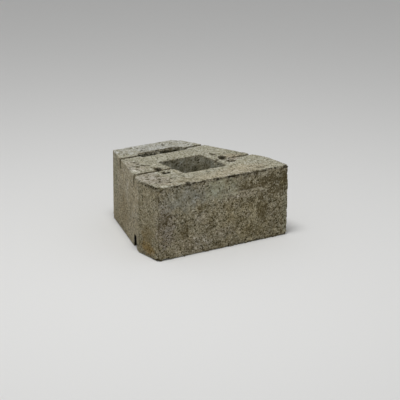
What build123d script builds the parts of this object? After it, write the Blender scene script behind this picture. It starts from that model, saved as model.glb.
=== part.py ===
from build123d import *
import os
from math import atan, ceil, degrees
from random import Random

# Cored segmental retaining-wall block, cast in one piece of dry concrete.
# Millimetres. +Z is up as the block is laid, the exposed face looks towards -Y,
# X runs along the face, and the origin is the middle of the footprint at the bed.
# Sizes called "from the face" are measured towards the back, from the highest lumps of
# the rough exposed face.

# Body
height = 150.0
face_width = 322.0
depth = 300.0
head_depth = 73.0           # square-sided head behind the exposed face
back_width = 161.0          # the tail narrows in a straight taper to this
tail_corner_radius = 4.0    # vertical corners at the back, as they leave the mould
arris_radius = 1.5          # rounding of the moulded top and bottom edges

# Rough exposed face: a skin of uneven facets, whose highest corner reaches the front
lump_spacing = 30.0
lump_shift = 7.0            # how far a facet's corner may lie off its regular place
lump_depth = 4.0            # from the highest corner to the deepest
rim_depth = 2.0             # of the skin along its edges
lump_seed = 5

# Main core, a drafted hole right through the block
core_width = 105.0
core_length = 97.0
core_from_face = 69.0       # thickness of the web between the face and the core
core_corner_radius = 6.0
core_draft = 1.0            # degrees; the core narrows downwards

# Slot core behind it, also right through
slot_width = 116.0
slot_length = 24.0
slot_from_face = 218.0
slot_corner_radius = 9.0
slot_draft = 0.6            # degrees

# Grooves left across the top by the bars that carry the two cores
core_groove_from_face = 112.5   # to its middle
slot_groove_from_face = 230.0
groove_width = 8.0
groove_depth = 20.0

# Channel across the whole underside, which takes the pins of the course below
channel_from_face = 101.0   # to its middle
channel_base_width = 22.0
channel_roof_width = 18.0
channel_depth = 26.0
channel_roof_radius = 3.0

# Upright V marks that the bars' ends leave down the tapered sides
score_depth = 1.5

# Pin holes right through, two on each side of the core; the front pair opens into the channel
pin_radius = 8.0
pin_spacing = 161.0
front_pin_from_face = 93.0  # for a steep wall
rear_pin_from_face = 127.0  # steps each course back

# Cutters run this far past the faces they open
clearance = 5.0


def from_face(distance):
    """Y of a place that lies this far behind the exposed face."""
    return distance - depth / 2


core_y = from_face(core_from_face + core_length / 2)
slot_y = from_face(slot_from_face + slot_length / 2)
head_end_y = from_face(head_depth)
taper_length = depth - head_depth
taper_per_side = (face_width - back_width) / 2
taper_angle = degrees(atan(taper_per_side / taper_length))


def half_width_at(y):
    """Half the block's width at this Y, on the head or along the taper."""
    behind_head = max(0.0, y - head_end_y)
    return face_width / 2 - behind_head * taper_per_side / taper_length


def body():
    """Head and tail as one prism, edges rounded, with stock left in front of the face."""
    front = from_face(-clearance)
    back = from_face(depth)
    outline = Polyline(
        (-face_width / 2, front),
        (face_width / 2, front),
        (face_width / 2, head_end_y),
        (back_width / 2, back),
        (-back_width / 2, back),
        (-face_width / 2, head_end_y),
        close=True,
    )
    block = extrude(make_face(outline), amount=height)
    upright = block.edges().filter_by(Axis.Z).group_by(Axis.Y)
    block = fillet(upright[-1], tail_corner_radius)
    levels = block.edges().group_by(Axis.Z)
    return fillet(levels[0] + levels[-1], arris_radius)


def skin_points(columns, rows):
    """Corners of the rough skin's facets by row and column, with one flat ring round the face."""
    chance = Random(lump_seed)
    crossings = (columns - 1) * (rows - 1)
    depths = [lump_depth * number / (crossings - 1) for number in range(crossings)]
    chance.shuffle(depths)
    points = {}
    for row in range(-1, rows + 2):
        for column in range(-1, columns + 2):
            x = face_width * (column / columns - 1 / 2)
            z = height * row / rows
            point = Vector(x, from_face(rim_depth), z)
            if 0 < row < rows and 0 < column < columns:
                aside = chance.uniform(-lump_shift, lump_shift)
                upwards = chance.uniform(-lump_shift, lump_shift)
                point = Vector(x + aside, from_face(depths.pop()), z + upwards)
            points[row, column] = point
    return points


def rough_face():
    """All that lies in front of the rough skin of the exposed face, to be cut away."""
    columns = ceil(face_width / lump_spacing)
    rows = ceil(height / lump_spacing)
    points = skin_points(columns, rows)
    facets = []
    for row in range(-1, rows + 1):
        for column in range(-1, columns + 1):
            low_left = points[row, column]
            low_right = points[row, column + 1]
            high_left = points[row + 1, column]
            high_right = points[row + 1, column + 1]
            if (row + column) % 2:
                facets += [(low_left, low_right, high_right), (low_left, high_right, high_left)]
            else:
                facets += [(low_left, low_right, high_left), (low_right, high_right, high_left)]
    first = points[-1, -1]
    last = points[rows + 1, columns + 1]
    ahead = from_face(-2 * clearance)
    near = [first, Vector(last.X, first.Y, first.Z), last, Vector(first.X, first.Y, last.Z)]
    far = [Vector(corner.X, ahead, corner.Z) for corner in near]
    facets.append(far)
    for number in range(4):
        following = (number + 1) % 4
        facets.append((near[number], near[following], far[following], far[number]))
    shell = Shell([Face(Wire.make_polygon(corners)) for corners in facets])
    return Solid(shell)


def drafted_core(width, length, y, corner_radius, draft):
    """A rounded rectangular hole through the block that narrows downwards."""
    mouth = Pos(0, y, height) * RectangleRounded(width, length, corner_radius)
    return extrude(mouth, amount=height + clearance, dir=(0, 0, -1), taper=draft)


def bar_groove(y):
    """A square groove across the whole top."""
    span = face_width + 2 * clearance
    groove = Box(span, groove_width, groove_depth + clearance)
    return Pos(0, y, height + (clearance - groove_depth) / 2) * groove


def pin_channel():
    """A drafted channel across the whole underside, with its roof corners rounded."""
    y = from_face(channel_from_face)
    flare = (channel_base_width - channel_roof_width) / 2 / channel_depth
    mouth = channel_base_width / 2 + flare * clearance
    roof = channel_roof_width / 2
    section = Polyline(
        (y - mouth, -clearance),
        (y + mouth, -clearance),
        (y + roof, channel_depth),
        (y - roof, channel_depth),
        close=True,
    )
    span = face_width + 2 * clearance
    channel = extrude(Plane.YZ.offset(-span / 2) * make_face(section), amount=span)
    roof_edges = channel.edges().filter_by(Axis.X).group_by(Axis.Z)[-1]
    return fillet(roof_edges, channel_roof_radius)


def side_scores(y):
    """A V mark down each tapered side at this Y, square to the wall."""
    edge = score_depth * 2**0.5
    wedge = Box(edge, edge, height + 2 * clearance)
    scores = []
    for side in (-1, 1):
        place = Pos(side * half_width_at(y), y, height / 2)
        scores.append(place * Rot(Z=45 + side * taper_angle) * wedge)
    return scores


def pin_holes():
    """Two pairs of round holes right through, one pair on each side of the main core."""
    drill = Cylinder(pin_radius, height + 2 * clearance)
    holes = []
    for x in (-pin_spacing / 2, pin_spacing / 2):
        for distance in (front_pin_from_face, rear_pin_from_face):
            holes.append(Pos(x, from_face(distance), height / 2) * drill)
    return holes


def wall_block():
    """The whole block: the body less the front of its face, its cores, grooves and holes."""
    cutters = [
        rough_face(),
        drafted_core(core_width, core_length, core_y, core_corner_radius, core_draft),
        drafted_core(slot_width, slot_length, slot_y, slot_corner_radius, slot_draft),
        pin_channel(),
    ]
    for distance in (core_groove_from_face, slot_groove_from_face):
        cutters.append(bar_groove(from_face(distance)))
        cutters += side_scores(from_face(distance))
    cutters += pin_holes()
    block = body()
    for cutter in cutters:
        block = block - cutter
    return block.solid()


os.makedirs("parts", exist_ok=True)
export_step(wall_block(), "parts/wall_block.step")
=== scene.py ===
"""Look of a cored concrete retaining-wall block: rough face, moulded tail, chipped and stained.

Objects are in metres in the frame of the solid: the exposed face looks towards -Y, the bed is at
Z = 0 and X runs along the face. Damage, relief and stains are laid out in block millimetres: the
same axes, but with Y measured back from the middle level of the rough face.
"""

import math
import random

import bmesh
import bpy
import numpy as np
from mathutils import Matrix, Vector, noise


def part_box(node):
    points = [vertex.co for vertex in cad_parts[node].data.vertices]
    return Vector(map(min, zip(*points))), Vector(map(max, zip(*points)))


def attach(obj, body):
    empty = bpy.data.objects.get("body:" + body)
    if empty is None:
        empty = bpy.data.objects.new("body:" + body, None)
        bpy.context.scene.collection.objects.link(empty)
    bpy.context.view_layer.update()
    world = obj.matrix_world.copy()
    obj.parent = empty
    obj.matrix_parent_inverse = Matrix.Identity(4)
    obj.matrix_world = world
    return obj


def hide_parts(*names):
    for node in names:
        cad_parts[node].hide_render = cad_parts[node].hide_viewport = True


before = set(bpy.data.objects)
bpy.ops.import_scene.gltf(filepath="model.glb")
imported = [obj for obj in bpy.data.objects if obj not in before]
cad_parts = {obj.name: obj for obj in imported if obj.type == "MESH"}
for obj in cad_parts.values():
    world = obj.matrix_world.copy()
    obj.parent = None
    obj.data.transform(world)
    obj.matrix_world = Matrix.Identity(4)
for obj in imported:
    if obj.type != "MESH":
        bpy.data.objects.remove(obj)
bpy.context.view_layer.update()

MM = 0.001
LOW, HIGH = (Vector(corner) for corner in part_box("wall_block"))
FACE_LEVEL = 2.0         # of the rough face, behind its highest lumps
FACE_Y = LOW.y + FACE_LEVEL * MM
WIDTH = (HIGH.x - LOW.x) / MM
DEPTH = (HIGH.y - FACE_Y) / MM
HEIGHT = (HIGH.z - LOW.z) / MM

# Sizes of the solid that its looks depend on
HEAD = 71.0              # the square-sided head behind the exposed face
BACK_WIDTH = 161.0
TAPER = (WIDTH - BACK_WIDTH) / 2 / (DEPTH - HEAD)
CORE_Y = 115.5
CORE_SIZE = (105.0, 97.0)
SLOT_Y = 228.0
SLOT_SIZE = (116.0, 24.0)
CORE_GROOVE_Y = 110.5
SLOT_GROOVE_Y = 228.0
GROOVE_HALF_WIDTH = 4.0
GROOVE_DEPTH = 20.0
CHANNEL_Y = 99.0
CHANNEL_HALF_WIDTH = 11.0
CHANNEL_DEPTH = 26.0
PIN_X = 80.5
PIN_PLACES_Y = (91.0, 125.0)
PIN_RADIUS = 8.0

# Mesh
VOXEL = 0.8
MOST_TRIANGLES = 196000
WEAR_REACH = 2.0         # how far round an edge the wear works
WEAR_FADE = (100.0, 60.0)    # from the face: between these the wear grows to full
INNER_WEAR = 0.30        # share of the full wear further back
MERGE = 1e-6
SHARP_ANGLE = math.radians(60)

# Where one surface's finish gives way to the next: from and to, in millimetres past its edge
ROUGH_EDGE = (4.0, 8.0)
CORE_EDGE = (0.5, 2.5)
GROOVE_EDGE = (0.3, 1.5)
CHANNEL_EDGE = (0.2, 1.2)
BORE_EDGE = (0.5, 1.5)
FLAT_EDGE = (9.0, 5.0)   # down from the top, or up from the bed
FLAT_TILT = (0.45, 0.80)     # upward share of the way that a flat faces
HEAD_SIDE = (6.0, 16.0)      # where the face turns into the head's smoother sides


# Node trees

class Tree:
    """A node tree under construction, with arithmetic between its sockets."""

    def __init__(self, tree):
        self.tree = tree

    def node(self, kind, inputs=None, **settings):
        made = self.tree.nodes.new(kind)
        for name, value in settings.items():
            setattr(made, name, value)
        for socket, value in (inputs or {}).items():
            self.feed(made.inputs[socket], value)
        return made

    def feed(self, socket, value):
        if isinstance(value, bpy.types.NodeSocket):
            self.tree.links.new(value, socket)
        else:
            socket.default_value = value

    def math(self, operation, *values):
        return self.node("ShaderNodeMath", dict(enumerate(values)), operation=operation).outputs[0]

    def vector(self, operation, *values):
        return self.node("ShaderNodeVectorMath", dict(enumerate(values)), operation=operation)

    def add(self, *values):
        total = values[0]
        for value in values[1:]:
            total = self.math("ADD", total, value)
        return total

    def times(self, *values):
        product = values[0]
        for value in values[1:]:
            if value != 1.0:
                product = self.math("MULTIPLY", product, value)
        return product

    def less(self, a, b):
        return self.math("SUBTRACT", a, b)

    def least(self, a, b):
        return self.math("MINIMUM", a, b)

    def most(self, *values):
        largest = values[0]
        for value in values[1:]:
            largest = self.math("MAXIMUM", largest, value)
        return largest

    def off(self, a, b=0.0):
        """How far a lies from b, either way."""
        return self.math("ABSOLUTE", self.less(a, b))

    def rest(self, mask, share=1.0):
        """What a mask leaves of 1, when this share of it counts."""
        return self.less(1.0, self.times(mask, share))

    def blend(self, mask, outside, within):
        """One value outside a mask and another within it."""
        return self.add(self.times(outside, self.rest(mask)), self.times(within, mask))

    def ramp(self, value, start, end, at_start=0.0, at_end=1.0):
        """Smooth step from at_start where the value is start to at_end where it is end."""
        made = self.node("ShaderNodeMapRange", interpolation_type="SMOOTHSTEP")
        for place, number in enumerate((value, start, end, at_start, at_end)):
            self.feed(made.inputs[place], number)
        return made.outputs[0]

    def axes(self, vector):
        return self.node("ShaderNodeSeparateXYZ", {0: vector}).outputs

    def spread(self, vector, x=1.0, y=1.0, z=1.0):
        """The vector with its axes scaled, to stretch a pattern."""
        return self.vector("MULTIPLY", vector, (x, y, z)).outputs[0]

    def noise(self, vector, size, detail=2.0, rough=0.5, seed=0.0):
        """Noise around 0.5 whose lumps are about this many millimetres across."""
        inputs = {"Vector": vector, "W": seed, "Scale": 1.0 / size, "Detail": detail,
                  "Roughness": rough}
        return self.node("ShaderNodeTexNoise", inputs, noise_dimensions="4D").outputs[0]

    def swing(self, vector, size, detail=2.0, rough=0.5, seed=0.0):
        """The same noise as a swing from -1 to 1."""
        return self.times(self.less(self.noise(vector, size, detail, rough, seed), 0.5), 2.0)

    def twist(self, vector, size, reach):
        """The place pushed about by noise, so that round shapes laid out on it turn ragged."""
        push = self.node("ShaderNodeTexNoise", {"Vector": vector, "Scale": 1.0 / size,
                                                "Detail": 3.0})
        centred = self.vector("SUBTRACT", push.outputs["Color"], (0.5, 0.5, 0.5)).outputs[0]
        return self.vector("MULTIPLY_ADD", centred, (reach,) * 3, vector).outputs[0]

    def cells(self, vector, size):
        """Cells about this many millimetres apart: (distance to the middle, a number per cell)."""
        made = self.node("ShaderNodeTexVoronoi", {"Vector": vector, "Scale": 1.0 / size})
        return made.outputs["Distance"], self.axes(made.outputs["Color"])[0]

    def pits(self, vector, size, share, radius, seed=0.0):
        """Depth from 0 to 1 of round-bottomed pits in this share of the cells."""
        shifted = self.vector("ADD", vector, (seed, seed, seed)).outputs[0]
        distance, number = self.cells(shifted, size)
        bowl = self.ramp(distance, self.times(radius, 0.3), radius, 1.0, 0.0)
        chosen = self.ramp(number, share, self.times(share, 0.8))
        return self.times(bowl, chosen)

    def mix(self, share, a, b):
        """Colour a with this share of colour b."""
        colours = {0: share, 6: a, 7: b}     # the others carry numbers and vectors
        return self.node("ShaderNodeMix", colours, data_type="RGBA").outputs[2]

    def shade(self, colour, factor):
        """The colour made darker or lighter by a factor."""
        made = self.node("ShaderNodeVectorMath", {0: colour, 3: factor}, operation="SCALE")
        return made.outputs[0]


def new_group(name, kind, inputs, outputs):
    """An empty node group with sockets of these kinds: (its tree, its inputs, its output node)."""
    made = bpy.data.node_groups.new(name, kind)
    for way, sockets in (("INPUT", inputs), ("OUTPUT", outputs)):
        for socket, form in sockets.items():
            made.interface.new_socket(socket, in_out=way, socket_type="NodeSocket" + form)
    tree = Tree(made)
    return tree, tree.node("NodeGroupInput").outputs, tree.node("NodeGroupOutput")


def block_place(tree, position):
    """A position in metres as a place in block millimetres."""
    moved = tree.vector("ADD", position, (0.0, -FACE_Y, 0.0)).outputs[0]
    return tree.shade(moved, 1 / MM)


def beyond(edge, reach):
    """The two ends of a reach that is measured from this edge."""
    return [edge + end for end in reach]


ZONES = ("rough", "inside", "flat", "recess", "channel")


def surfaces(tree, place, normal):
    """Masks of the block's surfaces, from a place in block millimetres and the way it faces."""
    x, y, z = tree.axes(place)
    tilt = tree.axes(normal)[2]
    behind_head = tree.most(tree.less(y, HEAD), 0.0)
    half_width = tree.less(WIDTH / 2, tree.times(behind_head, TAPER))
    side = tree.less(half_width, tree.off(x))
    head_side = tree.most(side, tree.less(y, HEAD))
    rough = tree.ramp(tree.least(y, head_side), *ROUGH_EDGE, 1.0, 0.0)
    below_top = tree.less(HEIGHT, z)

    inside = 0.0
    for middle, (width, length) in ((CORE_Y, CORE_SIZE), (SLOT_Y, SLOT_SIZE)):
        across = tree.less(tree.off(x), width / 2)
        along = tree.less(tree.off(y, middle), length / 2)
        inside = tree.most(inside, tree.ramp(tree.most(across, along), *CORE_EDGE, 1.0, 0.0))
    inside = tree.times(inside, tree.ramp(below_top, 0.5, 3.0))

    groove = tree.least(tree.off(y, CORE_GROOVE_Y), tree.off(y, SLOT_GROOVE_Y))
    groove = tree.times(tree.ramp(groove, *beyond(GROOVE_HALF_WIDTH, GROOVE_EDGE), 1.0, 0.0),
                        tree.ramp(below_top, GROOVE_DEPTH + 4.0, GROOVE_DEPTH + 1.0),
                        tree.ramp(below_top, 1.0, 5.0))
    across = beyond(CHANNEL_HALF_WIDTH, CHANNEL_EDGE)
    channel = tree.times(tree.ramp(tree.off(y, CHANNEL_Y), *across, 1.0, 0.0),
                         tree.ramp(z, CHANNEL_DEPTH + 1.2, CHANNEL_DEPTH + 0.3),
                         tree.ramp(side, *CHANNEL_EDGE))
    bore = 0.0
    for pin_y in PIN_PLACES_Y:
        beside = tree.less(tree.off(x), PIN_X)
        away = tree.math("SQRT", tree.add(tree.times(beside, beside),
                                          tree.math("POWER", tree.less(y, pin_y), 2.0)))
        bore = tree.most(bore, tree.ramp(away, *beyond(PIN_RADIUS, BORE_EDGE), 1.0, 0.0))
    bore = tree.times(bore, tree.ramp(below_top, 0.8, 4.0))
    solid_inside = tree.rest(inside)
    recess = tree.times(tree.most(groove, bore), solid_inside)
    top = tree.times(tree.ramp(tilt, *FLAT_TILT), tree.ramp(below_top, *FLAT_EDGE))
    bed = tree.times(tree.ramp(tree.times(tilt, -1.0), *FLAT_TILT), tree.ramp(z, *FLAT_EDGE))
    return {"rough": rough, "inside": inside, "flat": tree.most(top, bed), "recess": recess,
            "channel": tree.times(channel, solid_inside)}


# Damage, in block millimetres

# Chips off the top edge of the face: place along X and size
TOP_CHIPS = (
    (-151, 2.5), (-129, 3.0), (-120, 2.4), (-112, 3.0), (-103, 2.8), (-96, 2.4), (-89, 5.0),
    (-76, 2.8), (-71, 2.2), (-54, 3.4), (-35, 2.2), (-11, 2.4), (6, 2.6), (14, 3.0), (22, 2.6),
    (31, 3.0), (40, 2.6), (50, 3.0), (60, 2.6), (69, 2.4), (80, 3.2), (97, 2.6), (110, 2.4),
    (127, 2.8), (137, 3.8), (150, 3.2),
)

# Middle, radii along X, Y and Z, and how uneven the break is
BREAKS = (
    # The rear right corner, broken off down the whole height
    ((92, 300, 150), (26, 20, 48), 0.30),
    ((95, 296, 110), (22, 16, 40), 0.30),
    ((94, 302, 70), (20, 16, 44), 0.30),
    ((92, 304, 25), (16, 13, 40), 0.30),
    ((104, 278, 150), (16, 20, 22), 0.30),
    # The far edge of the slot, spalled all along
    ((-44, 241, 151), (11, 3.5, 5), 0.65),
    ((-27, 241, 152), (12, 5.0, 7), 0.65),
    ((-8, 241, 152), (13, 5.5, 9), 0.65),
    ((12, 241, 152), (10, 4.5, 8), 0.65),
    ((30, 241, 153), (12, 6.0, 10), 0.65),
    ((43, 240, 152), (6, 3.0, 6), 0.65),
    # Its near edge
    ((-53, 217, 152), (7, 4, 5), 0.35),
    ((10, 215, 153), (14, 4, 5), 0.35),
    # Edges of the groove beside the core, and its ends
    ((-150, 105, 151), (9, 6, 8), 0.35),
    ((-140, 106, 153), (8, 5, 5), 0.35),
    ((-54, 107, 152), (5, 6, 8), 0.35),
    ((147, 114, 152), (8, 6, 6), 0.35),
    ((120, 107, 152), (8, 4, 4), 0.40),
    # The pin holes' worn mouths
    ((-84, 118, 152), (6, 9, 9), 0.30),
    ((-81, 116, 150), (6.5, 5, 9), 0.30),
    ((79, 116, 150), (6.5, 5, 8), 0.30),
    ((-81, 128, 153), (6, 8, 7), 0.30),
    ((-88, 88, 152), (7, 6, 6), 0.35),
    ((76, 119, 152), (8, 9, 9), 0.40),
    ((78, 91, 152), (9, 9, 8), 0.40),
    # Corners and feet of the exposed face
    ((-164, -1, 152), (13, 13, 12), 0.35),
    ((162, 0, 151), (6, 6, 5), 0.35),
    ((-164, 22, 151), (7, 9, 7), 0.35),
    ((-163, 44, 151.5), (6, 7, 6), 0.35),
    ((-162, 60, 151.5), (5, 6, 5), 0.35),
    ((-163, -1, 126), (4, 4, 9), 0.45),
    ((-163, -1, 97), (4, 3.5, 7), 0.45),
    ((-163.5, -1, 62), (4, 4, 10), 0.45),
    ((-163, -1, 31), (4, 3.5, 6), 0.45),
    ((-163, -1, -2), (11, 11, 9), 0.35),
    ((-142, 0, -1), (12, 6, 4), 0.35),
    ((-168, 26, -1), (9, 16, 5), 0.35),
    ((162, -1, -1), (7, 7, 6), 0.35),
    # Back and right side
    ((-60, 300, 152), (12, 6, 6), 0.35),
    ((20, 300, 151), (9, 5, 5), 0.35),
    ((-82, 298, 0), (8, 8, 10), 0.35),
    ((140, 140, 152), (6, 10, 6), 0.35),
    ((162, 60, 0), (7, 9, 6), 0.35),
)

# Hollows in the top: middle, half width along X and along Y, depth
HOLLOWS = (
    ((77, 154), (5.5, 8.0), 8.0), ((-92, 161), (4.0, 4.5), 3.5),
    ((-84, 152), (3.5, 2.5), 2.5), ((-96, 187), (3.5, 5.0), 3.5),
    ((-129, 152), (3.5, 3.5), 2.8), ((-108, 155), (3.5, 3.5), 3.0),
    ((-97, 173), (3.5, 4.0), 3.0), ((-112, 168), (2.5, 2.5), 2.0),
    ((-118, 142), (2.5, 3.0), 2.0), ((-129, 41), (5.0, 4.0), 3.0),
    ((-115, 28), (4.0, 5.0), 3.0), ((-120, 57), (3.0, 6.0), 3.0),
    ((-109, 78), (3.0, 3.5), 2.5), ((-95, 52), (2.5, 4.0), 2.0),
    ((-139, 70), (2.5, 4.0), 2.0), ((-84, 9), (5.5, 5.0), 4.0),
    ((-8, 50), (3.0, 3.5), 2.2), ((103, 17), (6.0, 4.0), 2.2),
    ((97, 22), (3.0, 2.5), 1.6), ((30, 272), (4.0, 4.0), 1.5),
    ((-30, 262), (3.0, 3.0), 1.5),
)

# Edges that have lost crumbs: from, to, millimetres between crumbs and their size
HALF = WIDTH / 2
BACK_HALF = BACK_WIDTH / 2
CORE_HALF = CORE_SIZE[0] / 2
CORE_FRONT = CORE_Y - CORE_SIZE[1] / 2
CORE_BACK = CORE_Y + CORE_SIZE[1] / 2
GROOVE_FRONT = CORE_GROOVE_Y - GROOVE_HALF_WIDTH
GROOVE_BACK = CORE_GROOVE_Y + GROOVE_HALF_WIDTH
CRUMBLED_EDGES = (
    ((-HALF, 0, HEIGHT), (HALF, 0, HEIGHT), 6.0, 1.7),
    ((-HALF, 0, 0), (HALF, 0, 0), 8.0, 2.2),
    ((-HALF, 0, 0), (-HALF, 0, HEIGHT), 11.0, 2.0),
    ((HALF, 0, 0), (HALF, 0, HEIGHT), 13.0, 1.6),
    ((-HALF, 0, HEIGHT), (-HALF, HEAD, HEIGHT), 7.0, 2.0),
    ((HALF, 0, HEIGHT), (HALF, HEAD, HEIGHT), 9.0, 2.0),
    ((-HALF, 0, 0), (-HALF, HEAD, 0), 9.0, 2.4),
    ((HALF, 0, 0), (HALF, HEAD, 0), 9.0, 2.4),
    ((-HALF, HEAD, HEIGHT), (-BACK_HALF, DEPTH, HEIGHT), 14.0, 1.7),
    ((HALF, HEAD, HEIGHT), (BACK_HALF, DEPTH, HEIGHT), 14.0, 1.9),
    ((-HALF, HEAD, 0), (-BACK_HALF, DEPTH, 0), 14.0, 2.0),
    ((HALF, HEAD, 0), (BACK_HALF, DEPTH, 0), 14.0, 2.0),
    ((-BACK_HALF, DEPTH, HEIGHT), (BACK_HALF, DEPTH, HEIGHT), 14.0, 2.0),
    ((-BACK_HALF, DEPTH, 0), (BACK_HALF, DEPTH, 0), 14.0, 2.4),
    ((-CORE_HALF, CORE_FRONT, HEIGHT), (CORE_HALF, CORE_FRONT, HEIGHT), 11.0, 1.3),
    ((-CORE_HALF, CORE_BACK, HEIGHT), (CORE_HALF, CORE_BACK, HEIGHT), 11.0, 1.3),
    ((-CORE_HALF, CORE_FRONT, HEIGHT), (-CORE_HALF, CORE_BACK, HEIGHT), 11.0, 1.4),
    ((CORE_HALF, CORE_FRONT, HEIGHT), (CORE_HALF, CORE_BACK, HEIGHT), 11.0, 1.4),
    ((-147, GROOVE_FRONT, HEIGHT), (-CORE_HALF, GROOVE_FRONT, HEIGHT), 8.0, 1.3),
    ((-147, GROOVE_BACK, HEIGHT), (-CORE_HALF, GROOVE_BACK, HEIGHT), 8.0, 1.3),
    ((CORE_HALF, GROOVE_FRONT, HEIGHT), (147, GROOVE_FRONT, HEIGHT), 7.0, 1.4),
    ((CORE_HALF, GROOVE_BACK, HEIGHT), (147, GROOVE_BACK, HEIGHT), 7.0, 1.4),
    ((-104, 232, HEIGHT), (-60, 232, HEIGHT), 8.0, 1.3),
    ((60, 232, HEIGHT), (102, 232, HEIGHT), 8.0, 1.3),
)
CRUMB_SEED = 11
CRUMB_LIFT = (-0.3, 0.3)     # off the edge, in the crumb's own size, as are the next two
CRUMB_LENGTH = (0.3, 1.2)
CRUMB_GIRTH = (0.5, 1.2)
CHIP_SHAPE = (1.0, 0.7, 0.7)
CHIP_DROPS = 3           # chips lie at this many heights below the edge, half their size apart
TOP_SKIN = 3.0           # points no further down than this sink with a hollow in the top
BREAK_WAVES = 1.7
BREAK_NOISE = (0.9, 2.1, 4)  # fall-off, step between octaves, and octaves
LUMP_REACH = 2.0         # no broken surface lies further out than this many radii
EDGE_UNEVENNESS = 0.45
HOLLOW_UNEVENNESS = 0.5
CRUMB_UNEVENNESS = 0.35
FIRST_CRUMB_SEED = 40
FRESH_DEPTH = 0.8        # lost by an edge where its broken surface shows fully

# Concrete left in the groove and in the holes' mouths: middle and radii
CRUMBS = (
    ((84, 112, 141), (5.5, 6, 8.5)),
    ((95, 110, 141), (9, 5, 8.5)),
    ((108, 110, 140), (7, 5, 8)),
    ((57, 110, 137), (5.5, 5.5, 10)),
    ((65, 110, 140.5), (7, 5, 8.5)),
    ((87, 97, 143), (5, 4, 5)),
    ((-77.5, 95, 147.5), (4, 3.5, 3)),
    ((-141, 110, 140.5), (6, 5, 6)),
    ((-141, 110, 131), (6, 5, 7)),
    ((-100, 228, 132), (5.5, 5, 10)),
)


def new_object(name, data):
    """A new object in the scene."""
    made = bpy.data.objects.new(name, data)
    bpy.context.scene.collection.objects.link(made)
    return made


def as_mesh(shape, name):
    """The shape as a mesh of its own."""
    mesh = bpy.data.meshes.new(name)
    shape.to_mesh(mesh)
    shape.free()
    return mesh


def metres(place):
    """A place in block millimetres, in metres in the frame of the solid."""
    return Vector((place[0] * MM, place[1] * MM + FACE_Y, place[2] * MM))


def uneven(way, seed, unevenness):
    """How far out a broken surface lies in this direction, around 1."""
    spot = way * BREAK_WAVES + Vector((seed, 2 * seed, 0))
    return 1.0 + unevenness * noise.fractal(spot, *BREAK_NOISE)


def crumbled_edges():
    """Small lumps lost along the block's edges, each a little different."""
    chance = random.Random(CRUMB_SEED)
    lumps = []
    for start, end, spacing, size in CRUMBLED_EDGES:
        start = Vector(start)
        run = Vector(end) - start
        for number in range(int(run.length / spacing)):
            middle = start + run * (number + chance.random()) * spacing / run.length
            middle += Vector((0.0, 0.0, chance.uniform(*CRUMB_LIFT) * size))
            along = run.normalized() * size * chance.uniform(*CRUMB_LENGTH)
            radii = [size * chance.uniform(*CRUMB_GIRTH) + abs(part) for part in along]
            lumps.append((middle, radii, EDGE_UNEVENNESS))
    return lumps


def knock_out(points, centre, radii, unevenness, seed):
    """Pushes the points inside a lump of air out to its uneven surface."""
    middle = np.array(metres(centre))
    scale = np.array(radii) * MM
    near = np.flatnonzero((np.abs(points - middle) < LUMP_REACH * scale).all(axis=1))
    for index in near:
        offset = Vector((points[index] - middle) / scale)
        edge = uneven(offset.normalized(), seed, unevenness)
        if offset.length < edge:
            points[index] = middle + scale * np.array(offset.normalized() * edge)


def sink_hollow(points, sunk, centre, half_widths, depth, seed):
    """Presses an uneven hollow into the top, and notes how far each point has sunk in it."""
    middle = np.array(metres((*centre, HEIGHT)))
    scale = np.array(half_widths) * MM
    near = np.flatnonzero((np.abs(points[:, :2] - middle[:2]) < LUMP_REACH * scale).all(axis=1)
                          & (points[:, 2] > middle[2] - TOP_SKIN * MM))
    for index in near:
        offset = Vector((*((points[index, :2] - middle[:2]) / scale), 0.0))
        share = offset.length / uneven(offset.normalized(), seed, HOLLOW_UNEVENNESS)
        if share < 1.0:
            sunk[index] = 1.0 - share ** 3
            points[index, 2] -= depth * MM * sunk[index]


def add_crumb(shape, centre, radii, seed):
    """Adds a small uneven lump of concrete."""
    for vert in bmesh.ops.create_icosphere(shape, subdivisions=3, radius=1.0)["verts"]:
        out = vert.co.normalized()
        swell = uneven(out, seed, CRUMB_UNEVENNESS)
        vert.co = metres(centre) + Vector(out * part * MM for out, part in zip(out * swell, radii))


def block_shape():
    """A copy of the solid's mesh, merged, with crumbs stuck on."""
    shape = bmesh.new()
    shape.from_mesh(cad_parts["wall_block"].data)
    bmesh.ops.remove_doubles(shape, verts=shape.verts, dist=MERGE)
    for seed, (centre, radii) in enumerate(CRUMBS):
        add_crumb(shape, centre, radii, FIRST_CRUMB_SEED + seed)
    return as_mesh(shape, "block_stock")


def vertex_places(mesh):
    """The mesh's points as rows of X, Y and Z."""
    places = np.empty(len(mesh.vertices) * 3)
    mesh.vertices.foreach_get("co", places)
    return places.reshape(-1, 3)


def carve(mesh):
    """Carves breaks, chips and hollows out of a dense mesh, and marks what they lay bare."""
    before = vertex_places(mesh)
    points = before.copy()
    lumps = list(BREAKS)
    for number, (x, size) in enumerate(TOP_CHIPS):
        drop = size / 2 * (number % CHIP_DROPS)
        radii = [size * part for part in CHIP_SHAPE]
        lumps.append(((x, -0.5, HEIGHT - drop), radii, EDGE_UNEVENNESS))
    lumps += crumbled_edges()
    for seed, (centre, radii, unevenness) in enumerate(lumps):
        knock_out(points, centre, radii, unevenness, seed)
    sunk = np.zeros(len(points))
    for seed, (centre, half_widths, depth) in enumerate(HOLLOWS):
        sink_hollow(points, sunk, centre, half_widths, depth, seed)
    mesh.vertices.foreach_set("co", points.ravel())
    lost = np.linalg.norm(points - before, axis=1) / MM
    laid_bare = {"broken": np.clip(lost / FRESH_DEPTH, 0.0, 1.0), "hollow": sunk}
    for name, values in laid_bare.items():
        mesh.attributes.new(name, "FLOAT", "POINT").data.foreach_set("value", values)
    mesh.update()


# Relief: its patterns are laid out on the surface before it sinks, and the finish reads the same

RELIEF_SEED = 3.0
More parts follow.
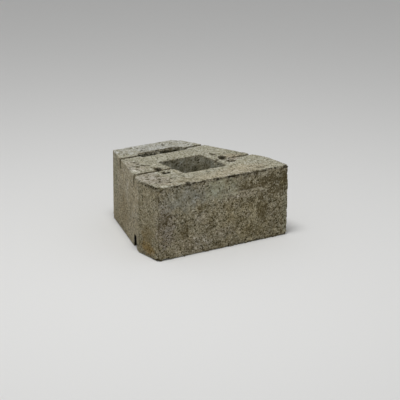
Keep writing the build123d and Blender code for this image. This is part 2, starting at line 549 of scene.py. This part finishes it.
# How deep each kind goes, in millimetres
FACE_DEPTHS = {"lumps": 1.3, "hollows": 1.3, "pits": 1.1, "grain": 1.1, "stones": 0.45,
               "step": 1.7}
TOP_GRAIN_DEPTH = 0.7
WALL_STREAK_DEPTH = 0.35
CORE_GRAIN_DEPTH = 1.3
AIR_HOLE_DEPTH = 1.5
LEDGE_HEIGHT = 111.0
LEDGE_ENDS = ((-24.0, 2.0), (112.0, 84.0))   # X where it fades in and out


def pitting(tree, place):
    """The rough face's ragged hollows and its pits, each from 0 to 1."""
    crowd = tree.noise(place, 52.0, 2.0, 0.5, RELIEF_SEED)
    crowd = tree.ramp(crowd, 0.36, 0.62, -0.055, 0.035)
    hollow = tree.noise(tree.twist(place, 9.0, 7.0), 12.0, 5.0, 0.72, RELIEF_SEED + 5.0)
    hollows = tree.ramp(tree.add(hollow, crowd), 0.50, 0.62)
    pits = tree.pits(tree.twist(place, 4.0, 5.0), 7.5, 0.34, 0.36, 3.0)
    return hollows, pits


def air_holes(tree, place):
    """Holes that air bubbles left in the moulded surfaces, thickest on the top's front left."""
    x, y, _ = tree.axes(place)
    crowd = tree.times(tree.ramp(x, -30.0, -95.0), tree.ramp(y, 200.0, 60.0))
    share = tree.add(0.08, tree.times(crowd, 0.30))
    ragged = tree.twist(place, 5.0, 5.0)
    small = tree.pits(ragged, 6.5, tree.times(share, 1.3), 0.26, 41.0)
    return tree.most(tree.pits(ragged, 12.0, share, 0.20, 29.0), tree.times(small, 0.8))


def ledge(tree, place):
    """The small ledge across the face's upper middle: (height above it, how far it shows)."""
    x, _, z = tree.axes(place)
    line = tree.add(tree.times(tree.swing(place, 18.0), 2.0), LEDGE_HEIGHT)
    return tree.less(z, line), tree.times(*(tree.ramp(x, *end) for end in LEDGE_ENDS))


def face_relief(tree, place):
    """How deep the rough face lies; the head's sides are smoother."""
    hollows, pits = pitting(tree, place)
    above, shows = ledge(tree, place)
    parts = {
        "lumps": tree.ramp(tree.noise(place, 19.0, 4.0, 0.62, RELIEF_SEED), 0.30, 0.70),
        "hollows": hollows,
        "pits": pits,
        "grain": tree.noise(place, 2.9, 3.0, 0.7, RELIEF_SEED),
        "stones": tree.cells(place, 4.2)[1],
        "step": tree.times(tree.ramp(above, -0.6, 0.8), shows),
    }
    depth = tree.add(*(tree.times(part, FACE_DEPTHS[name]) for name, part in parts.items()))
    return tree.times(depth, tree.ramp(tree.axes(place)[1], 5.0, 16.0, 1.0, 0.55))


def moulded_relief(tree, place, zone):
    """How deep the flats, the moulded walls and the cores lie."""
    fine = tree.noise(place, 2.6, 3.0, 0.7, RELIEF_SEED)
    sunk_air = tree.times(air_holes(tree, place), AIR_HOLE_DEPTH)
    flat = tree.add(tree.times(fine, TOP_GRAIN_DEPTH), sunk_air,
                    tree.times(tree.noise(place, 21.0, 3.0, 0.6, RELIEF_SEED), 0.5))
    streaks = tree.noise(tree.spread(place, z=0.05), 3.6, 2.0, 0.6, RELIEF_SEED)
    drag = tree.noise(tree.spread(place, z=0.25), 15.0, 2.0, 0.5, RELIEF_SEED)
    wall = tree.add(tree.times(streaks, WALL_STREAK_DEPTH), tree.times(drag, 0.7),
                    tree.times(fine, 0.35), tree.times(sunk_air, 0.6))
    core_noise = tree.noise(tree.spread(place, z=0.45), 7.0, 4.0, 0.70, RELIEF_SEED)
    core = tree.times(core_noise, CORE_GRAIN_DEPTH)
    return tree.blend(zone["inside"], tree.blend(zone["flat"], wall, flat), core)


def shaping_group(name):
    """A node group that changes a mesh."""
    return new_group(name, "GeometryNodeTree", {"Geometry": "Geometry"}, {"Geometry": "Geometry"})


def wear_tree():
    """Draws a dense mesh towards its own blurred shape, more round the face than elsewhere."""
    tree, entry, output = shaping_group("edge_wear")
    raw = tree.node("GeometryNodeInputPosition").outputs[0]
    steps = round(2 * (WEAR_REACH / VOXEL) ** 2)
    blur = tree.node("GeometryNodeBlurAttribute", {"Value": raw, "Iterations": steps},
                     data_type="FLOAT_VECTOR")
    place = block_place(tree, raw)
    patchy = tree.ramp(tree.noise(place, 14.0, 3.0, 0.6, RELIEF_SEED), 0.36, 0.62, 0.25, 1.0)
    around_face = tree.ramp(tree.axes(place)[1], *WEAR_FADE)
    share = tree.times(patchy, tree.most(around_face, INNER_WEAR))
    worn = tree.node("ShaderNodeMix", {"Factor": share, 4: raw, 5: blur.outputs[0]},
                     data_type="VECTOR")
    softened = tree.node("GeometryNodeSetPosition", {"Geometry": entry["Geometry"],
                                                     "Position": worn.outputs[1]})
    real = tree.node("GeometryNodeRealizeInstances", {"Geometry": softened.outputs[0]})
    tree.feed(output.inputs[0], real.outputs[0])
    return tree.tree


def relief_tree(material):
    """Sinks each surface's own relief into a dense mesh, and stores the masks of its finish."""
    tree, entry, output = shaping_group("concrete_relief")
    place = block_place(tree, tree.node("GeometryNodeInputPosition").outputs[0])
    normal = tree.node("GeometryNodeInputNormal").outputs[0]
    zone = surfaces(tree, place, normal)
    face_depth = face_relief(tree, place)
    other_depth = moulded_relief(tree, place, zone)
    rough = tree.times(zone["rough"], tree.rest(zone["flat"], 0.7))
    depth = tree.blend(rough, other_depth, face_depth)
    geometry = entry["Geometry"]
    kept = {"surface_place": (place, "FLOAT_VECTOR")}
    kept.update((name, (zone[name], "FLOAT")) for name in ZONES)
    for name, (value, form) in kept.items():
        stored = {"Geometry": geometry, "Name": name, "Value": value}
        geometry = tree.node("GeometryNodeStoreNamedAttribute", stored, data_type=form,
                             domain="POINT").outputs[0]
    inwards = tree.shade(normal, tree.times(depth, -MM))
    sunk = tree.node("GeometryNodeSetPosition", {"Geometry": geometry, "Offset": inwards})
    real = tree.node("GeometryNodeRealizeInstances", {"Geometry": sunk.outputs[0]})
    finish = tree.node("GeometryNodeSetMaterial", {"Geometry": real.outputs[0],
                                                   "Material": material})
    tree.feed(output.inputs[0], finish.outputs[0])
    return tree.tree


def plain_mesh(block, name):
    """The block's mesh with its modifiers worked in."""
    graph = bpy.context.evaluated_depsgraph_get()
    mesh = bpy.data.meshes.new_from_object(block.evaluated_get(graph), depsgraph=graph)
    mesh.name = name
    block.modifiers.clear()
    block.data = mesh
    return mesh


def hold_in_box(mesh):
    """Keeps every point within the solid's box."""
    points = np.clip(vertex_places(mesh), np.array(LOW), np.array(HIGH))
    mesh.vertices.foreach_set("co", points.ravel())
    mesh.update()


def make_block(material):
    """The block as one closed mesh: damaged, worn, with the relief of each surface."""
    block = new_object("block", block_shape())
    remesh = block.modifiers.new("dense", "REMESH")
    remesh.mode = "VOXEL"
    remesh.voxel_size = VOXEL * MM
    wear = block.modifiers.new("wear", "NODES")
    wear.node_group = wear_tree()
    carve(plain_mesh(block, "block_dense"))
    relief = block.modifiers.new("relief", "NODES")
    relief.node_group = relief_tree(material)
    thin = block.modifiers.new("thin", "DECIMATE")
    triangles = 2 * len(block.data.polygons)
    thin.ratio = min(1.0, MOST_TRIANGLES / triangles)
    mesh = plain_mesh(block, "block")
    hold_in_box(mesh)
    for polygon in mesh.polygons:
        polygon.use_smooth = True
    mesh.set_sharp_from_angle(angle=SHARP_ANGLE)
    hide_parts("wall_block")
    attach(block, "root")


# Finish: colours are linear

TOP_COLOUR = (0.365, 0.347, 0.259, 1.0)
WALL_COLOUR = (0.343, 0.300, 0.201, 1.0)
# The face's colour is darker than the top's, partly as painted shade.
FACE_COLOUR = (0.318, 0.283, 0.190, 1.0)
CORE_COLOUR = (0.275, 0.260, 0.183, 1.0)
# Dirt and painted shade for the face's pits, hollows and chips, also used for the painted shadow
# above the ledge.
GRIME_AND_SHADE = (0.078, 0.058, 0.022, 1.0)
# Grey dirt, with painted shade in the air holes and on the top's chipped edges.
GREY_DIRT_AND_SHADE = (0.130, 0.120, 0.085, 1.0)
# Dirt and painted shade in the grooves, holes, breaks and hollows, paler near the grooves' ends.
SOIL_AND_SHADE = (0.045, 0.038, 0.022, 1.0)
PALE_SOIL_AND_SHADE = (0.095, 0.080, 0.042, 1.0)
# Near-black painted shade inside the underside channel.
PAINTED_CHANNEL_SHADE = (0.010, 0.009, 0.005, 1.0)
# Dirt and painted shade in the crumbled spots along the face's top edge.
DARK_DIRT_AND_SHADE = (0.022, 0.016, 0.006, 1.0)
OCHRE = (0.300, 0.205, 0.075, 1.0)
GREEN = (0.250, 0.245, 0.165, 1.0)
FILM = (0.355, 0.345, 0.240, 1.0)
BLUE = (0.245, 0.245, 0.200, 1.0)
BROWN = (0.165, 0.135, 0.058, 1.0)
PALE = (0.390, 0.350, 0.265, 1.0)
TAN = (0.345, 0.298, 0.178, 1.0)
PINK = (0.350, 0.300, 0.245, 1.0)
SAND = (0.390, 0.335, 0.230, 1.0)
CHALK = (0.440, 0.435, 0.385, 1.0)
DUSK = (0.275, 0.240, 0.190, 1.0)
DULL = (0.235, 0.222, 0.165, 1.0)

# Patches of colour: colour, middle, radii in block millimetres, how strong
SIDE_PATCHES = (
    (DUSK, (-142, 0, 72), (24, 20, 56), 0.75),
    (TAN, (44, 0, 50), (74, 20, 50), 0.60),
    (PALE, (-74, 0, 20), (52, 20, 20), 0.70),
    (PALE, (-56, 0, 72), (14, 20, 12), 0.55),
    (PALE, (4, 0, 34), (34, 20, 14), 0.50),
    (PALE, (56, 0, 60), (12, 20, 9), 0.45),
    (PALE, (114, 0, 60), (14, 20, 12), 0.30),
    (PALE, (42, 0, 102), (50, 20, 6), 0.60),
    (BROWN, (150, 0, 119), (13, 20, 16), 0.75),
    (GREEN, (157, 0, 50), (12, 60, 60), 0.60),
    (OCHRE, (-162, 37, 18), (24, 24, 13), 0.90),
    (OCHRE, (-162, 38, 44), (24, 20, 24), 0.35),
    (OCHRE, (-112, 190, 52), (50, 30, 40), 0.22),
    (GREEN, (-92, 275, 105), (30, 26, 56), 0.55),
    (PALE, (-100, 240, 98), (30, 14, 34), 0.50),
    (PALE, (-124, 165, 110), (30, 10, 40), 0.45),
    (PALE, (-140, 122, 70), (30, 10, 60), 0.30),
    (BLUE, (-146, 108, 12), (14, 14, 14), 0.50),
    (GREEN, (130, 70, 150), (40, 60, 20), 0.35),
)
FILMS = (
    (BLUE, (-100, 0, 118), (54, 20, 28), 0.60),
    (BLUE, (-46, 0, 122), (26, 20, 20), 0.25),
    (FILM, (-14, 0, 126), (30, 20, 22), 0.95),
    (FILM, (22, 0, 122), (16, 20, 16), 0.55),
)
SOILED = (
    ((58, 0, 122), (24, 20, 13), 0.70),
    ((116, 0, 122), (46, 20, 14), 0.85),
    ((154, 0, 128), (16, 20, 22), 0.80),
    ((130, 0, 100), (28, 20, 20), 0.75),
    ((96, 0, 66), (17, 20, 34), 0.95),
    ((136, 0, 64), (14, 20, 26), 0.50),
    ((48, 0, 56), (18, 20, 13), 0.60),
    ((72, 0, 26), (26, 20, 14), 0.50),
    ((-20, 0, 13), (16, 20, 7), 0.65),
    ((-54, 0, 93), (15, 20, 9), 0.70),
    ((-4, 0, 90), (13, 20, 8), 0.65),
    ((-98, 0, 50), (18, 20, 13), 0.60),
    ((-148, 0, 84), (17, 20, 28), 0.50),
    ((-30, 0, 57), (13, 20, 9), 0.55),
    ((64, 0, 86), (10, 20, 10), 0.50),
    ((-162, 36, 42), (24, 22, 26), 0.75),
    ((-118, 200, 50), (50, 46, 36), 0.60),
    ((-100, 250, 22), (60, 40, 24), 0.50),
    ((100, 240, 40), (70, 90, 45), 0.50),
    ((20, 298, 20), (70, 40, 26), 0.60),
)
TOP_PATCHES = (
    (CHALK, (0, 285, 150), (110, 50, 40), 0.75),
    (CHALK, (38, 246, 150), (56, 26, 40), 0.60),
    (DULL, (-112, 50, 150), (50, 56, 40), 0.50),
    (PINK, (-130, 62, 150), (34, 50, 40), 0.45),
    (PINK, (-118, 165, 150), (26, 44, 40), 0.40),
    (SAND, (60, 28, 150), (70, 30, 40), 0.60),
    (SAND, (-52, 18, 150), (76, 26, 40), 0.50),
    (DULL, (-104, 160, 150), (30, 7, 40), 0.70),
    (PINK, (96, 104, 150), (17, 14, 40), 0.80),
    (SAND, (106, 122, 150), (24, 14, 40), 0.75),
    (GREEN, (122, 143, 150), (13, 9, 40), 0.60),
    (GREEN, (-62, 32, 150), (24, 26, 40), 0.25),
    (GREEN, (30, 10, 0), (120, 90, 30), 0.35),
    (DULL, (-40, 240, 0), (110, 90, 30), 0.40),
)


def speckle_group():
    """Sand, stones and pores showing in the paste: shade around 1 and a height."""
    tree, entry, output = new_group("speckle", "ShaderNodeTree", {
        "Place": "Vector", "Grain": "Float", "Contrast": "Float", "Pores": "Float",
    }, {"Shade": "Float", "Height": "Float"})
    place = tree.shade(entry["Place"], tree.math("DIVIDE", 1.0, entry["Grain"]))
    ragged = tree.twist(place, 0.8, 0.7)
    stone = tree.times(tree.less(tree.cells(ragged, 1.0)[1], 0.5), 2.0)
    stone = tree.times(stone, stone, stone)
    stone = tree.least(stone, tree.times(stone, 0.5))
    sand = tree.times(tree.less(tree.cells(place, 0.5)[1], 0.5), 2.0)
    fine = tree.swing(place, 0.8, 2.0, 0.7, 5.0)
    grains = tree.add(tree.times(stone, 0.75), tree.times(sand, 0.30), tree.times(fine, 0.50))
    pores = tree.pits(ragged, 1.6, 0.34, 0.36, 7.0)
    # The pores are coloured darker, partly as painted shade in them.
    shade = tree.times(tree.add(1.0, tree.times(grains, entry["Contrast"])),
                       tree.rest(pores, entry["Pores"]))
    tree.feed(output.inputs["Shade"], shade)
    tree.feed(output.inputs["Height"], tree.less(grains, pores))
    return tree.tree


def mottle_group():
    """Uneven dirt and damp at three sizes: shade around 1."""
    tree, entry, output = new_group("mottle", "ShaderNodeTree", {
        "Place": "Vector", "Small": "Float", "Middle": "Float", "Large": "Float",
    }, {"Shade": "Float"})
    total = 1.0
    for name, size, seed in (("Small", 6.0, 1.0), ("Middle", 15.0, 2.0), ("Large", 50.0, 3.0)):
        layer = tree.swing(entry["Place"], size, 3.0, 0.6, seed)
        total = tree.add(total, tree.times(layer, entry[name]))
    tree.feed(output.inputs["Shade"], total)
    return tree.tree


def patch_group():
    """A soft-edged patch, ragged where the noise it is given swings: a mask from 0 to 1."""
    tree, entry, output = new_group("ragged_patch", "ShaderNodeTree", {
        "Place": "Vector", "Ragged": "Float", "Middle": "Vector", "Radii": "Vector",
        "Strength": "Float",
    }, {"Mask": "Float"})
    offset = tree.vector("SUBTRACT", entry["Place"], entry["Middle"]).outputs[0]
    local = tree.vector("DIVIDE", offset, entry["Radii"]).outputs[0]
    distance = tree.vector("LENGTH", local).outputs["Value"]
    mask = tree.ramp(tree.add(distance, entry["Ragged"]), 0.45, 1.30, 1.0, 0.0)
    tree.feed(output.inputs["Mask"], tree.times(mask, entry["Strength"]))
    return tree.tree


def use(tree, group, inputs):
    """Places a group in a tree with its own values, and gives its outputs."""
    made = tree.node("ShaderNodeGroup", node_tree=group)
    for name, value in inputs.items():
        tree.feed(made.inputs[name], value)
    return made.outputs


class Dirt:
    """Patches laid over the block's colour."""

    def __init__(self, tree, place):
        self.tree = tree
        self.place = place
        self.group = patch_group()
        self.ragged = tree.times(tree.swing(place, 14.0, 5.0, 0.72, 9.0), 1.5)

    def mask(self, middle, radii, strength):
        return use(self.tree, self.group, {"Place": self.place, "Ragged": self.ragged,
                                           "Middle": middle, "Radii": radii,
                                           "Strength": strength})["Mask"]

    def cover(self, patches):
        """How far any of these patches covers each place."""
        return self.tree.most(*(self.mask(*patch[-3:]) for patch in patches))

    def tint(self, colour, patches, where):
        """The colour with coloured patches over it."""
        for patch_colour, *form in patches:
            share = self.tree.times(self.mask(*form), where)
            colour = self.tree.mix(share, colour, patch_colour)
        return colour


def weathered_and_shaded(tree, colour, shade, warmth):
    """The colour darkened by a shade factor that carries tone and painted shade, the darker the
    browner, warmer in places.
    """
    factor = tree.node("ShaderNodeCombineXYZ", {
        0: tree.times(shade, tree.add(1.0, tree.times(warmth, 0.07))),
        1: tree.math("POWER", shade, 1.06),
        2: tree.times(tree.math("POWER", shade, 1.30), tree.rest(warmth, 0.16))})
    return tree.vector("MULTIPLY", colour, factor.outputs[0]).outputs[0]


# How the shades, the dirt and the painted shade and highlight change: from, to, and the value at
# each end where it isn't 0 and 1
FOOT_SHADE = (5.0, 130.0, 0.84, 1.05)    # of the outside walls, by height
CORE_PAINTED_SHADE = (104.0, 138.0, 0.70, 1.06)  # painted shade of the cores' walls, by height: darker further down
DARKEST_SHADE = 0.15
SPECK_BAND = (0.575, 0.615)
BARE_BAND = (0.50, 0.58)
LEDGE_HIGHLIGHT = (2.0, 0.8)           # painted highlight along the ledge, by distance from its line
LEDGE_SHADOW = (14.0, 44.0, 0.2, 1.0)    # painted shadow above the ledge, by X
ARRIS_HEIGHT = (8.5, 4.5)        # below the top
ARRIS_DEPTH = (5.5, 3.0)         # in from the face or from the head's side
HOLLOW_DIRT_AND_SHADE = (0.02, 0.30)       # dirt and painted shade in the hollows, by how far the point has sunk
GROOVE_END = (88.0, 100.0)       # the dirt and painted shade in a groove turn paler near its ends
BUMP_STRENGTH = 0.8
BUMP_DISTANCE = 0.0006
ROUGHNESS = 0.92
SPECULAR = 0.25


def surface_masks(tree, place):
    """Masks that the relief stored on the mesh, and those that follow from them."""
    mask = {name: tree.node("ShaderNodeAttribute", attribute_name=name).outputs["Fac"]
            for name in (*ZONES, "broken", "hollow")}
    x, y, _ = tree.axes(place)
    mask["sides"] = tree.rest(mask["flat"])
    mask["face"] = tree.times(mask["rough"], mask["sides"])
    mask["wall"] = tree.times(tree.rest(mask["rough"]), mask["sides"], tree.rest(mask["inside"]))
    mask["head_side"] = tree.times(mask["face"], tree.ramp(y, *HEAD_SIDE))
    mask["front_left"] = tree.times(tree.ramp(x, -40.0, -80.0), tree.ramp(y, 210.0, 150.0),
                                    mask["flat"])
    return mask


def by_surface(tree, mask, base, **more):
    """The base value, with this much more of it where each named mask lies."""
    for name, amount in more.items():
        base = tree.add(base, tree.times(mask[name], amount))
    return base


def stained_colour(tree, dirt, mask):
    """Each surface's own colour under patches of rust, damp, film and brown dirt."""
    colour = tree.mix(mask["sides"], TOP_COLOUR, WALL_COLOUR)
    colour = tree.mix(mask["inside"], colour, CORE_COLOUR)
    colour = tree.mix(mask["face"], colour, FACE_COLOUR)
    colour = dirt.tint(colour, SIDE_PATCHES + FILMS, mask["sides"])
    colour = dirt.tint(colour, TOP_PATCHES, mask["flat"])
    return tree.mix(tree.times(mask["soiled"], 0.32), colour, BROWN)


def grain(tree, place, mask):
    """Sand, stones and pores on each surface: (shade around 1, height)."""
    calm = tree.times(tree.rest(mask["filmed"], 0.55), tree.rest(mask["head_side"], 0.20))
    contrast = by_surface(tree, mask, 1.30, flat=0.10, face=0.35, inside=-0.05)
    pores = by_surface(tree, mask, 0.20, flat=0.15, face=0.45, inside=0.20)
    speckle = use(tree, speckle_group(), {
        "Place": place, "Grain": 2.7, "Contrast": tree.times(contrast, calm),
        "Pores": tree.times(pores, calm)})
    return speckle["Shade"], speckle["Height"]


def mottle_streaks_and_painted_shade(tree, place, mask):
    """Mottling, streaks down the moulded walls, darker towards the foot and a little on the head's
    sides, and painted shade deep in the cores.
    """
    z = tree.axes(place)[2]
    mottle = use(tree, mottle_group(), {
        "Place": place,
        "Small": by_surface(tree, mask, 0.35, front_left=0.35),
        "Middle": by_surface(tree, mask, 0.25, face=0.10, inside=0.6, front_left=0.45),
        "Large": by_surface(tree, mask, 0.25, inside=1.0, front_left=0.20)})["Shade"]
    streak = tree.swing(tree.spread(place, z=0.06), 4.5, 3.0, 0.6, 7.0)
    streaks = tree.add(1.0, tree.times(streak, mask["wall"], 0.40))
    # Darker towards the foot of the outside walls and a little on the head's sides; painted shade
    # deep down in the cores.
    low = tree.blend(mask["inside"], tree.ramp(z, *FOOT_SHADE), tree.ramp(z, *CORE_PAINTED_SHADE))
    low = tree.add(mask["flat"], tree.times(low, mask["sides"]),
                   tree.times(mask["head_side"], -0.09))
    return tree.times(mottle, streaks, low)


def patchy_warmth(tree, place, mask):
    """How much warmer or cooler the concrete is, from place to place."""
    warmth = tree.add(tree.swing(place, 13.0, 3.0, 0.6, 31.0),
                      tree.times(tree.swing(place, 45.0, 1.0, 0.5, 33.0), 0.5))
    return tree.times(warmth, tree.rest(mask["flat"], 0.45))


def dirt_specks(tree, place, mask):
    """Specks of dirt, thickest where the block is soiled and thin under the film."""
    grit = tree.noise(place, 4.0, 5.0, 0.78, 21.0)
    grit = by_surface(tree, mask, grit, soiled=0.145, filmed=-0.12, head_side=-0.04)
    return tree.ramp(grit, *SPECK_BAND)


def face_grime_and_shade(tree, place, mask, specks):
    """Grime and painted shade in the rough face's hollows and pits, with bare stones showing
    through.
    """
    hollows, pits = pitting(tree, place)
    bare = tree.ramp(tree.noise(place, 3.0, 3.0, 0.70, 61.0), *BARE_BAND)
    grime_shade_mask = tree.most(tree.times(hollows, 0.60), tree.times(pits, 0.95), tree.times(specks, 0.95))
    return tree.times(grime_shade_mask, mask["face"], tree.rest(bare, 0.55), tree.rest(mask["filmed"], 0.7),
                      tree.rest(mask["head_side"], 0.40))


def ledge_highlight_and_shadow(tree, place, mask):
    """The face's ledge: (a painted highlight along its rim, painted shadow with dirt above it)."""
    x = tree.axes(place)[0]
    above, shows = ledge(tree, place)
    lip_highlight = tree.times(tree.ramp(tree.off(above), *LEDGE_HIGHLIGHT), shows, mask["face"])
    shadow = tree.times(tree.ramp(above, 0.6, 1.6), tree.ramp(above, 12.0, 3.0), shows,
                        mask["face"])
    return lip_highlight, tree.times(shadow, tree.ramp(x, *LEDGE_SHADOW))


def arris_dirt_and_shade(tree, place, mask):
    """Dark crumbled spots along the top edge of the face and of the head's sides: dirt and painted
    shade.
    """
    x, y, z = tree.axes(place)
    spots = tree.pits(tree.twist(tree.spread(place, x=0.6), 4.0, 4.0), 5.0, 0.60, 0.66, 51.0)
    between = tree.noise(place, 6.0, 4.0, 0.7, 4.0)
    crumbled = tree.most(tree.ramp(spots, 0.08, 0.30), tree.ramp(between, 0.44, 0.60, 0.0, 0.50))
    inwards = tree.least(y, tree.less(HALF, tree.off(x)))
    return tree.times(mask["rough"], crumbled, tree.ramp(tree.less(HEIGHT, z), *ARRIS_HEIGHT),
                      tree.ramp(inwards, *ARRIS_DEPTH))


def grey_grime_and_shade(tree, place, mask, specks):
    """Grey dirt and painted shade in the air holes and on the top's worn edges, and grey dirt in
    specks on the flats.
    """
    y = tree.axes(place)[1]
    air = tree.times(air_holes(tree, place), tree.rest(mask["face"]), tree.rest(mask["inside"]))
    worn_top = tree.times(mask["broken"], mask["flat"], tree.ramp(y, 4.0, 12.0))
    flat_specks = tree.times(specks, mask["flat"], by_surface(tree, mask, 0.15, front_left=0.50))
    return tree.most(tree.times(air, 0.80), tree.times(worn_top, 0.7), flat_specks)


def recess_soil_and_shade(tree, place, mask):
    """Dirt and painted shade in the grooves, the holes, the breaks around them and the hollows:
    (mask, colour).
    """
    x, _, z = tree.axes(place)
    level = tree.times(tree.rest(mask["face"]), tree.ramp(z, HEIGHT - 1.0, HEIGHT - 4.0),
                       tree.ramp(z, HEIGHT - 22.0, HEIGHT - 18.0))
    sunk = tree.times(mask["broken"], level, tree.rest(mask["inside"]))
    hollow = tree.ramp(mask["hollow"], *HOLLOW_DIRT_AND_SHADE)
    soil_shade_mask = tree.most(tree.times(mask["recess"], 0.85), tree.times(sunk, 0.60),
                     tree.times(hollow, 0.75))
    return soil_shade_mask, tree.mix(tree.ramp(tree.off(x), *GROOVE_END), SOIL_AND_SHADE, PALE_SOIL_AND_SHADE)


def concrete():
    """Dry-cast concrete: pale top, moulded walls, a rough face dark partly with painted shade,
    with dirt, rust and damp, painted shade in the cores, recesses, pits and chips, and a painted
    highlight and shadow at the face's ledge.
    """
    material = bpy.data.materials.new("dry_cast_concrete")
    material.use_nodes = True
    tree = Tree(material.node_tree)
    tree.tree.nodes.clear()
    place = tree.node("ShaderNodeAttribute", attribute_name="surface_place").outputs["Vector"]
    mask = surface_masks(tree, place)
    dirt = Dirt(tree, place)
    mask["soiled"] = tree.times(dirt.cover(SOILED), mask["sides"])
    mask["filmed"] = tree.times(dirt.cover(FILMS), mask["face"])

    grain_shade, grain_height = grain(tree, place, mask)
    shade = tree.times(mottle_streaks_and_painted_shade(tree, place, mask), grain_shade)
    shade = tree.most(shade, DARKEST_SHADE)
    colour = stained_colour(tree, dirt, mask)
    colour = weathered_and_shaded(tree, colour, shade, patchy_warmth(tree, place, mask))

    lip_highlight, shadow = ledge_highlight_and_shadow(tree, place, mask)
    # A painted highlight along the ledge's rim, then painted shadow above the ledge.
    colour = tree.mix(tree.times(lip_highlight, 0.50), colour, PALE)
    colour = tree.mix(tree.times(shadow, 0.45), colour, GRIME_AND_SHADE)
    specks = dirt_specks(tree, place, mask)
    # Grime and painted shade in the face's hollows and pits, and dirt specks on the sides.
    grime_shade_mask = tree.most(face_grime_and_shade(tree, place, mask, specks),
                      tree.times(specks, mask["sides"], 0.25))
    colour = tree.mix(tree.times(grime_shade_mask, tree.rest(lip_highlight, 0.7)), colour, GRIME_AND_SHADE)
    # Grey dirt, with painted shade in the top's air holes and chipped edges.
    colour = tree.mix(grey_grime_and_shade(tree, place, mask, specks), colour, GREY_DIRT_AND_SHADE)
    # Chipped places on the sides darkened, partly dirt and partly painted shade.
    broken = tree.times(mask["broken"], mask["sides"], by_surface(tree, mask, 0.15, face=0.45))
    colour = tree.mix(broken, colour, GRIME_AND_SHADE)
    # Dirt and painted shade in the grooves, holes, breaks and hollows.
    soil_shade_mask, soil_shade_colour = recess_soil_and_shade(tree, place, mask)
    colour = tree.mix(soil_shade_mask, colour, soil_shade_colour)
    # Dirt and painted shade in the crumbled spots along the face's top edge.
    colour = tree.mix(tree.times(arris_dirt_and_shade(tree, place, mask), 0.90), colour, DARK_DIRT_AND_SHADE)
    # Painted shade: the underside channel's inside is near black.
    colour = tree.mix(mask["channel"], colour, PAINTED_CHANNEL_SHADE)

    bump = tree.node("ShaderNodeBump", {
        "Strength": BUMP_STRENGTH, "Distance": BUMP_DISTANCE, "Height": grain_height})
    finish = tree.node("ShaderNodeBsdfPrincipled", {
        "Base Color": colour, "Roughness": ROUGHNESS, "Specular IOR Level": SPECULAR,
        "Normal": bump.outputs[0]})
    output = tree.node("ShaderNodeOutputMaterial")
    tree.feed(output.inputs["Surface"], finish.outputs[0])
    return material


# Studio

SURROUND_LIGHT = 0.365
LAMP_POWER = 29.5
LAMP_SIZE = 0.9
LAMP_PLACE = (-0.45, -0.35, 2.25)
LAMP_TARGET = (0.0, 0.0, 0.1)
FLOOR_SIZE = 4.0
FLOOR_GAP = 0.0002       # keeps the floor and the bed from lying in one plane
FLOOR_COLOUR = (0.78, 0.78, 0.77, 1.0)


def white_to_camera(tree, strength):
    """1 or the given strength: 1 for what the camera sees direct, mirrored or through glass."""
    rays = tree.node("ShaderNodeLightPath").outputs
    seen = tree.most(rays["Is Camera Ray"], rays["Is Glossy Ray"], rays["Is Transmission Ray"])
    return tree.add(strength, tree.times(seen, 1.0 - strength))


def make_studio():
    """A pale floor, a white surround and a soft lamp overhead."""
    world = bpy.data.worlds.new("studio")
    bpy.context.scene.world = world
    world.use_nodes = True
    tree = Tree(world.node_tree)
    tree.tree.nodes.clear()
    strength = white_to_camera(tree, SURROUND_LIGHT)
    surround = tree.node("ShaderNodeBackground", {"Color": (1.0, 1.0, 1.0, 1.0),
                                                  "Strength": strength})
    output = tree.node("ShaderNodeOutputWorld")
    tree.feed(output.inputs["Surface"], surround.outputs[0])

    shape = bmesh.new()
    bmesh.ops.create_grid(shape, x_segments=1, y_segments=1, size=FLOOR_SIZE)
    floor = new_object("floor", as_mesh(shape, "floor"))
    floor.location.z = -FLOOR_GAP
    material = bpy.data.materials.new("pale_floor")
    material.use_nodes = True
    paint = material.node_tree.nodes["Principled BSDF"]
    paint.inputs["Base Color"].default_value = FLOOR_COLOUR
    paint.inputs["Roughness"].default_value = 0.9
    floor.data.materials.append(material)

    lamp = bpy.data.lights.new("overhead", "AREA")
    lamp.shape = "DISK"
    lamp.size = LAMP_SIZE
    lamp.energy = LAMP_POWER
    light = new_object("overhead", lamp)
    light.location = LAMP_PLACE
    aim = Vector(LAMP_TARGET) - light.location
    light.rotation_euler = aim.to_track_quat("-Z", "Y").to_euler()


# The photograph's camera, from a fit to the block's corners; distances are in block heights
CAMERA_ANGLES = (-34.877, 17.034, 0.395)     # azimuth, elevation and roll, in degrees
CAMERA_DISTANCE = 21.752
CAMERA_SHIFT = (0.1799, -0.0543)
CAMERA_TARGET = (0.0, 0.9, 0.5)
SENSOR_WIDTH = 36.0
FOCAL_LENGTH = 141.37


def make_camera():
    """Places the photograph's camera."""
    azimuth, elevation, roll = (math.radians(angle) for angle in CAMERA_ANGLES)
    back = Vector((math.sin(azimuth) * math.cos(elevation),
                   -math.cos(azimuth) * math.cos(elevation), math.sin(elevation)))
    level = Vector((math.cos(azimuth), math.sin(azimuth), 0.0))
    upright = back.cross(level)
    across = math.cos(roll) * level + math.sin(roll) * upright
    up = math.cos(roll) * upright - math.sin(roll) * level
    shift_x, shift_y = CAMERA_SHIFT
    eye = Vector(CAMERA_TARGET) + back * CAMERA_DISTANCE + shift_x * level + shift_y * upright
    lens = bpy.data.cameras.new("camera")
    lens.sensor_width = SENSOR_WIDTH
    lens.lens = FOCAL_LENGTH
    camera = new_object("camera", lens)
    turn = Matrix((across, up, back)).transposed().to_4x4()
    unit = HEIGHT * MM
    camera.matrix_world = Matrix.Translation(eye * unit + Vector((0.0, FACE_Y, 0.0))) @ turn
    bpy.context.scene.camera = camera


make_block(concrete())
make_studio()
make_camera()
bpy.context.scene.view_settings.view_transform = "Standard"
bpy.context.view_layer.update()
